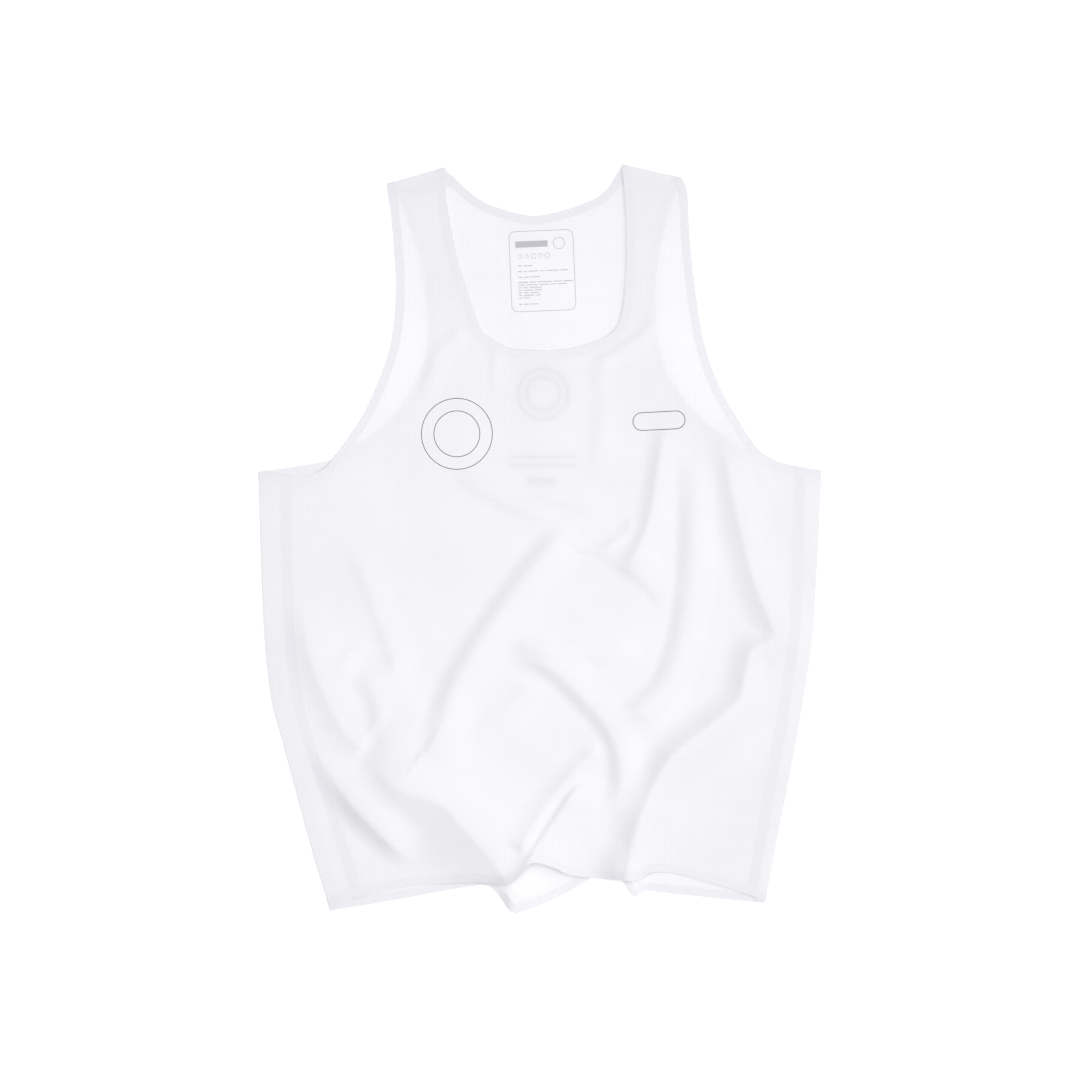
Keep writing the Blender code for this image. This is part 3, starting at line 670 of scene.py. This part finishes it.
def mixed(tree, share, first, second, blend="MIX"):
    """A Mix node on two colours, each a constant or an output; its own output."""
    node = add(tree, "ShaderNodeMix", data_type="RGBA", blend_type=blend)
    tree.links.new(share, node.inputs[MIX_SHARE])
    for socket, value in ((MIX_FIRST, first), (MIX_SECOND, second)):
        if isinstance(value, tuple):
            node.inputs[socket].default_value = (*value, 1)
        else:
            tree.links.new(value, node.inputs[socket])
    return node.outputs[MIX_RESULT]


def shade(colour, share):
    """A colour made lighter or darker, no lighter than white."""
    return tuple(min(1, channel * share) for channel in colour)


def flat_noise(tree, uv, scale, detail):
    """Noise in the cloth's flat coordinates; its own output."""
    noise = add(tree, "ShaderNodeTexNoise", noise_dimensions="2D")
    set_sockets(noise, {"Scale": scale, "Detail": detail})
    tree.links.new(uv.outputs[0], noise.inputs["Vector"])
    return noise.outputs["Fac"]


def bump(tree, shader, height, strength, depth):
    """Fine relief on a shader, from an output that gives the height."""
    node = add(tree, "ShaderNodeBump")
    set_sockets(node, {"Strength": strength, "Distance": depth})
    tree.links.new(height, node.inputs["Height"])
    tree.links.new(node.outputs[0], shader.inputs["Normal"])


def thread_lines(tree, place, pitch, sharpness):
    """1 on the lines of a square grid in flat coordinates, 0 between them."""
    lines = []
    for axis in ("X", "Y"):
        wave = math(tree, "COSINE", math(tree, "MULTIPLY", place.outputs[axis], 2 * pi / pitch))
        share = math(tree, "MULTIPLY_ADD", wave, 0.5, 0.5)
        lines.append(math(tree, "POWER", share, sharpness))
    return math(tree, "MAXIMUM", *lines)


def woven(name, colour, line_colour, alpha):
    """Sheer woven cloth: a waffle of thicker threads, uneven in patches, over fine threads."""
    material, tree, shader = principled(name, {
        "Roughness": 0.82, "Specular IOR Level": 0.25, "Sheen Weight": 0.08, "Alpha": alpha})
    uv = add(tree, "ShaderNodeUVMap", uv_map="flat")
    place = add(tree, "ShaderNodeSeparateXYZ")
    tree.links.new(uv.outputs[0], place.inputs[0])
    waffle = thread_lines(tree, place, WAFFLE_PITCH, sharpness=5)
    threads = thread_lines(tree, place, THREAD_PITCH, sharpness=1)
    least, uneven = 0.25, 0.9
    patches = math(tree, "MULTIPLY_ADD", flat_noise(tree, uv, scale=14, detail=2), uneven, least)
    outer = mixed(tree, math(tree, "MULTIPLY", waffle, patches), colour, line_colour)
    # Painted shade: the inner face's colour is made a little darker, standing in for the dimmer light on
    # cloth seen from its inside.
    face = add(tree, "ShaderNodeNewGeometry")
    both = mixed(tree, face.outputs["Backfacing"], outer, INNER_PAINTED_SHADE, "MULTIPLY")
    tree.links.new(both, shader.inputs["Base Color"])
    thread_share = 0.3
    height = math(tree, "MULTIPLY_ADD", threads, thread_share, waffle)
    bump(tree, shader, height, strength=0.35, depth=0.08 * MM)
    return material


def bonded(name, colour):
    """Smooth bonded tape, a little satin, with a fine uneven surface."""
    material, tree, shader = principled(name, {
        "Roughness": 0.6, "Specular IOR Level": 0.3, "Alpha": TAPE_SHEER})
    uv = add(tree, "ShaderNodeUVMap", uv_map="flat")
    grain = flat_noise(tree, uv, scale=260, detail=3)
    tone = mixed(tree, grain, shade(colour, 0.975), shade(colour, 1.025))
    tree.links.new(tone, shader.inputs["Base Color"])
    bump(tree, shader, grain, strength=0.25, depth=0.15 * MM)
    return material


def ink(name, colour):
    """Heat-transfer print: a smooth film with a slightly uneven tone."""
    material, tree, shader = principled(name, {"Roughness": 0.5})
    noise = add(tree, "ShaderNodeTexNoise", noise_dimensions="3D")
    set_sockets(noise, {"Scale": 900})
    tone = mixed(tree, noise.outputs["Fac"], shade(colour, 0.9), shade(colour, 1.1))
    tree.links.new(tone, shader.inputs["Base Color"])
    return material


def glowing_white(name, glow):
    """Matt white with no gloss, and a glow of its own."""
    white = (1.0, 1.0, 1.0, 1)
    return principled(name, {"Base Color": white, "Roughness": 1.0, "Specular IOR Level": 0,
                             "Emission Color": white, "Emission Strength": glow})[0]


cloth = woven("singlet_cloth", CLOTH_COLOUR, THREAD_COLOUR, SHEER)
edge_tape = bonded("singlet_edge_tape", TAPE_COLOUR)
seam_tape = bonded("singlet_seam_tape", SEAM_COLOUR)
dark_ink = ink("print_dark", DARK_INK_COLOUR)
label_ink = ink("print_label", LABEL_INK_COLOUR)


# The front and the back

def front_edges():
    """The edges of the front, on its flat outline, running on over the strap tops."""
    left, right = STRAPS["left"], STRAPS["right"]
    neck = (past_top(left, left.inner, left.neck_lean)[::-1] + FRONT_NECK
            + past_top(right, right.inner, right.neck_lean))
    armhole_left = FRONT_ARMHOLE_LEFT + past_top(left, left.outer, left.arm_lean)
    armhole_right = FRONT_ARMHOLE_RIGHT + past_top(right, right.outer, right.arm_lean)
    return curve(neck), curve(armhole_left), curve(armhole_right), curve(FRONT_HEM)


def fold_creases(folds):
    """Lines along the crest of every fold that leans over, and down its sides."""
    shares = (-0.9, -0.6, -0.3, -0.12, 0, 0.12, 0.3, 0.6, 0.9)
    lines = []
    for fold in folds:
        if any(fold.lean):
            crest = curve(fold.points)
            for share in shares:
                reach = fold.left if share > 0 else fold.right
                lines.append(beside(crest, share * reach * MM))
    return lines


def make_front():
    """The front's cloth and tapes, with the side seams, and the cloth's outline."""
    neck, arm_left, arm_right, hem = front_edges()
    inset = EDGE_TAPE_WIDTH - UNDER_TAPE
    side_inset = SIDE_TAPE_WIDTH - UNDER_TAPE
    top = {side: strap_line(strap, FOLD_ARC + SHOULDER_DROP) for side, strap in STRAPS.items()}
    turns = [strap_line(strap, k / FOLD_FACETS * FOLD_ARC)
             for strap in STRAPS.values() for k in range(FOLD_FACETS + 1)]
    panel = outline(seam_line("left", side_inset), beside(arm_left, -inset), top["left"],
                    beside(neck, -inset), top["right"], beside(arm_right, inset),
                    seam_line("right", side_inset), above(hem, inset))
    sheet = cloth_sheet("front_cloth", "front_panel", panel, front_layer, cloth,
                        turns + fold_creases(FRONT_FOLDS))
    ring = outline(neck, top["right"], beside(neck, -EDGE_TAPE_WIDTH), top["left"])
    tapes = [tape_strip("neck_tape_front", "neck_band_front", ring, front_layer, edge_tape,
                        creases=turns)]
    for side, arm, turn in (("left", arm_left, -1), ("right", arm_right, 1)):
        ring = outline(arm, top[side], beside(arm, turn * EDGE_TAPE_WIDTH),
                       seam_line(side, SIDE_TAPE_WIDTH))
        tapes.append(tape_strip("armhole_tape_front_" + side, "armhole_band_front_" + side,
                                ring, front_layer, edge_tape, creases=turns))
    ring = outline(hem, seam_line("right", SIDE_TAPE_WIDTH), above(hem, EDGE_TAPE_WIDTH),
                   seam_line("left", SIDE_TAPE_WIDTH))
    tapes.append(tape_strip("hem_tape_front", "hem_band_front", ring, front_layer, edge_tape))
    for side, arm in (("left", arm_left), ("right", arm_right)):
        ring = outline(seam_line(side, 0), arm, seam_line(side, SIDE_TAPE_WIDTH), hem)
        tapes.append(tape_strip("side_tape_" + side, "side_seam_" + side, ring, front_layer,
                                seam_tape))
    return sheet, tapes, panel


def make_back():
    """The back's cloth and tapes, with the shoulder seams, and the cloth's outline."""
    neck, arm_left, arm_right, hem = (
        curve(edge) for edge in (BACK_NECK, BACK_ARMHOLE_LEFT, BACK_ARMHOLE_RIGHT, BACK_HEM))
    inset = EDGE_TAPE_WIDTH - UNDER_TAPE
    tape_end = SHOULDER_DROP + SHOULDER_TAPE_WIDTH
    top = {side: strap_line(strap, -tape_end + UNDER_TAPE) for side, strap in STRAPS.items()}
    ends = {side: strap_line(strap, -tape_end) for side, strap in STRAPS.items()}
    turns = side_fold_creases()
    panel = outline(wrapped_seam_line("left", UNDER_TAPE), beside(arm_left, -inset), top["left"],
                    beside(neck, -inset), top["right"], beside(arm_right, inset),
                    wrapped_seam_line("right", UNDER_TAPE), above(hem, inset))
    sheet = cloth_sheet("back_cloth", "back_panel", panel, back_layer, cloth, turns, BACK_GRID)
    ring = outline(neck, ends["right"], beside(neck, -EDGE_TAPE_WIDTH), ends["left"])
    tapes = [tape_strip("neck_tape_back", "neck_band_back", ring, back_layer, edge_tape)]
    for side, arm, turn in (("left", arm_left, -1), ("right", arm_right, 1)):
        ring = outline(arm, ends[side], beside(arm, turn * EDGE_TAPE_WIDTH), wrapped_seam_line(side, 0))
        tapes.append(tape_strip("armhole_tape_back_" + side, "armhole_band_back_" + side,
                                ring, back_layer, edge_tape, creases=turns))
        ring = outline(arm, ends[side], neck, strap_line(STRAPS[side], -SHOULDER_DROP))
        tapes.append(tape_strip("shoulder_tape_" + side, "shoulder_seam_" + side, ring, back_layer,
                                seam_tape))
    ring = outline(hem, wrapped_seam_line("right", 0), above(hem, EDGE_TAPE_WIDTH),
                   wrapped_seam_line("left", 0))
    tapes.append(tape_strip("hem_tape_back", "hem_band_back", ring, back_layer, edge_tape,
                            creases=turns))
    return sheet, tapes, panel


back, back_tapes, back_panel = make_back()
front, front_tapes, front_panel = make_front()


# Prints: generic marks in the places of the maker's own

INK_LINE = 0.65 * MM        # width of the chest marks' lines
CHEST_RING = (-79.8 * MM, 99.4 * MM)
CHEST_RING_RADII = (34 * MM, 22 * MM)
CHEST_BAR = (114 * MM, 112 * MM)
CHEST_BAR_SIZE = (50 * MM, 17 * MM)
CHEST_BAR_CORNER = 8.4 * MM
CHEST_BAR_ANGLE = radians(3)
BACK_RING = (2.8 * MM, 137.8 * MM)
BACK_RING_RADII = (24 * MM, 16 * MM)
BACK_RING_LINE = 4 * MM
BACK_LINES = (2.8 * MM, 77 * MM)
BACK_LINE_LENGTHS = (64 * MM, 66 * MM)
BACK_LINE_PITCH = 8 * MM
BACK_LINE = 3 * MM
BACK_WORD = (1 * MM, 54 * MM)
BACK_WORD_SIZE = (27 * MM, 7 * MM)
LABEL = (2.2 * MM, 256 * MM)
LABEL_SIZE = (61.5 * MM, 77 * MM)
LABEL_CORNER = 6 * MM
LABEL_ANGLE = radians(2.4)
LABEL_LINE = 0.6 * MM       # width of the label's frame and ring
SHAPE_LINE = 0.5 * MM       # width of its small shapes' lines
DASH_LINE = 0.8 * MM        # width of its dashes

# What is on the label, in mm from its centre
HEADING = [(-25, 26), (6, 26)]
HEADING_LINE = 6
SMALL_RING = (17, 26)
SMALL_RING_RADIUS = 5.5
SHAPE_SIDES = (4, 3, 12, 4, 12)     # of the shapes in their row; those with 12 look round
SHAPE_RADIUS = 2.4
SHAPES_START = (-21, 14.5)
SHAPE_PITCH = 6.6
DASHES_START = -23.5
DASH_GAP = 1.6
Row = namedtuple("Row", "y dashes")
LABEL_ROWS = [Row(5.5, (4, 9)), Row(0, (4, 3, 9, 5, 12, 7)), Row(-5.5, (4, 5, 9)),
              Row(-10.5, (9, 6, 14, 8, 9)), Row(-13, (6, 11, 9, 5, 9)), Row(-15.5, (3, 4, 12)),
              Row(-18, (3, 9, 7)), Row(-20.5, (3, 5, 8)), Row(-23, (3, 10, 5)), Row(-25.5, (3, 6)),
              Row(-31.5, (3, 5, 7))]


def arc(centre, radius, start=0, stop=2 * pi, step=1.2 * MM):
    """Part of a circle, in metres, anticlockwise."""
    angles = np.linspace(start, stop, max(6, round(radius * abs(stop - start) / step)))
    return np.array(centre) + radius * np.column_stack([np.cos(angles), np.sin(angles)])


def straight(first, last, step=2 * MM):
    """A straight line, in metres, with points at even distances."""
    first, last = np.array(first), np.array(last)
    count = max(2, round(np.hypot(*(last - first)) / step))
    return first + np.linspace(0, 1, count)[:, None] * (last - first)


def rotated(line, angle):
    """A line turned anticlockwise about the origin."""
    cosine, sine = np.cos(angle), np.sin(angle)
    return line @ np.array([[cosine, sine], [-sine, cosine]])


def rounded_frame(centre, size, radius, angle, step=1.5 * MM):
    """A rectangle with round corners, as one closed line."""
    x, y = size[0] / 2 - radius, size[1] / 2 - radius
    corners = [((x, y), 0), ((-x, y), pi / 2), ((-x, -y), pi), ((x, -y), 3 * pi / 2)]
    line = np.vstack([arc(corner, radius, start, start + pi / 2) for corner, start in corners])
    line = np.vstack([line, line[:1]])
    return np.array(centre) + rotated(resample(line, step), angle)


def chest_marks():
    """A double ring on one side of the chest and a long frame on the other."""
    ring = [(arc(CHEST_RING, radius), INK_LINE) for radius in CHEST_RING_RADII]
    bar = [(rounded_frame(CHEST_BAR, CHEST_BAR_SIZE, CHEST_BAR_CORNER, CHEST_BAR_ANGLE), INK_LINE)]
    print_mark("chest_ring_print", ring, front_layer, PRINT_HEIGHT, dark_ink)
    print_mark("chest_bar_print", bar, front_layer, PRINT_HEIGHT, dark_ink)


def bars(centre, lengths, pitch, width):
    """Bars one under the other, each with its middle under the centre."""
    return [(np.array(centre) + straight((-length / 2, -k * pitch), (length / 2, -k * pitch)), width)
            for k, length in enumerate(lengths)]


def back_marks():
    """A ring and bars on the back's outer side, and their ink as it shows on its inner side."""
    ring = [(arc(BACK_RING, radius), BACK_RING_LINE) for radius in BACK_RING_RADII]
    lines = bars(BACK_LINES, BACK_LINE_LENGTHS, BACK_LINE_PITCH, BACK_LINE)
    word = bars(BACK_WORD, BACK_WORD_SIZE[:1], 0, BACK_WORD_SIZE[1])
    for name, height in (("", PRINT_HEIGHT), ("_inside", -PRINT_HEIGHT)):
        print_mark("back_ring_print" + name, ring, back_layer, height, dark_ink)
        print_mark("back_bar_print" + name, lines + word, back_layer, height, dark_ink)


def on_label(line):
    """A line drawn from the label's centre, in mm, turned as the label is and set in its place."""
    return np.array(LABEL) + rotated(np.array(line) * MM, LABEL_ANGLE)


def small_shape(place, sides):
    """A regular shape on the label. Squares and triangles stand on a side."""
    angles = np.linspace(0, 2 * pi, sides + 1) + (pi / 4 if sides == 4 else pi / 2)
    return on_label(np.column_stack([place[0] + SHAPE_RADIUS * np.cos(angles),
                                     place[1] + SHAPE_RADIUS * np.sin(angles)]))


def label_print():
    """A care label with no words: a frame, a heading bar, a ring, plain shapes and rows of dashes."""
    strokes = [(rounded_frame(LABEL, LABEL_SIZE, LABEL_CORNER, LABEL_ANGLE), LABEL_LINE),
               (on_label(HEADING), HEADING_LINE * MM),
               (arc(on_label([SMALL_RING])[0], SMALL_RING_RADIUS * MM), LABEL_LINE)]
    for k, sides in enumerate(SHAPE_SIDES):
        place = (SHAPES_START[0] + SHAPE_PITCH * k, SHAPES_START[1])
        strokes.append((small_shape(place, sides), SHAPE_LINE))
    for row in LABEL_ROWS:
        x = DASHES_START
        for length in row.dashes:
            strokes.append((on_label([(x, row.y), (x + length, row.y)]), DASH_LINE))
            x += length + DASH_GAP
    print_mark("label_print", strokes, back_layer, -PRINT_HEIGHT, label_ink)


chest_marks()
back_marks()
label_print()


# The studio

GROUND_SIZE = 14
GROUND_DROP = 0.4 * MM      # of the ground's face below the surface the singlet lies on
GROUND_GLOW = 0.14
SKY_COLOUR = (0.9, 0.925, 1.0, 1)
SKY_STRENGTH = 0.42
CAMERA_PLACE = (-0.1 * MM, -2.4 * MM, 2.6)
FRAME_WIDTH = 1.0368        # the width of the picture on the ground
SENSOR_WIDTH = 36


def floor():
    """A white ground, which shows as pure white."""
    bpy.ops.mesh.primitive_plane_add(size=GROUND_SIZE, location=(0, 0, -GROUND_DROP))
    ground = bpy.context.object
    ground.name = "floor"
    ground.data.materials.append(glowing_white("floor_white", GROUND_GLOW))


def aimed(name, data, place, target=(0, 0, 0)):
    """A light in the scene, unseen by the camera, that shines from place to target."""
    light = bpy.data.objects.new(name, data)
    light.location = place
    light.rotation_euler = (Vector(target) - Vector(place)).to_track_quat("-Z", "Y").to_euler()
    light.visible_camera = False
    bpy.context.scene.collection.objects.link(light)


def softbox(name, place, size, power):
    """A square soft light near the singlet."""
    data = bpy.data.lights.new(name, "AREA")
    data.shape = "SQUARE"
    data.size = size
    data.energy = power
    aimed(name, data, place)


def window(name, place, spread, strength):
    """Soft light from one side, even all over the floor."""
    data = bpy.data.lights.new(name, "SUN")
    data.angle = radians(spread)
    data.energy = strength
    aimed(name, data, place)


def camera():
    """A camera straight above that frames the photo's width."""
    data = bpy.data.cameras.new("camera")
    data.sensor_width = SENSOR_WIDTH
    data.lens = SENSOR_WIDTH * CAMERA_PLACE[2] / FRAME_WIDTH
    seen_from = bpy.data.objects.new("camera", data)
    seen_from.location = CAMERA_PLACE
    bpy.context.scene.collection.objects.link(seen_from)
    bpy.context.scene.camera = seen_from


def sky():
    """Faint cool light from all round."""
    world = bpy.data.worlds.new("studio")
    world.use_nodes = True
    set_sockets(world.node_tree.nodes["Background"], {"Color": SKY_COLOUR, "Strength": SKY_STRENGTH})
    bpy.context.scene.world = world


def light_paths():
    """Enough bounces for light to pass between the sheer layers, and colours with no film look."""
    cycles = bpy.context.scene.cycles
    cycles.max_bounces = 24
    cycles.diffuse_bounces = 12
    cycles.transparent_max_bounces = 32
    view = bpy.context.scene.view_settings
    view.view_transform = "Standard"
    view.look = "None"


floor()
softbox("overhead", place=(0.05, -0.1, 1.5), size=0.7, power=12)
window("window", place=(1.6, 0.45, 1.5), spread=50, strength=0.82)
camera()
sky()
light_paths()
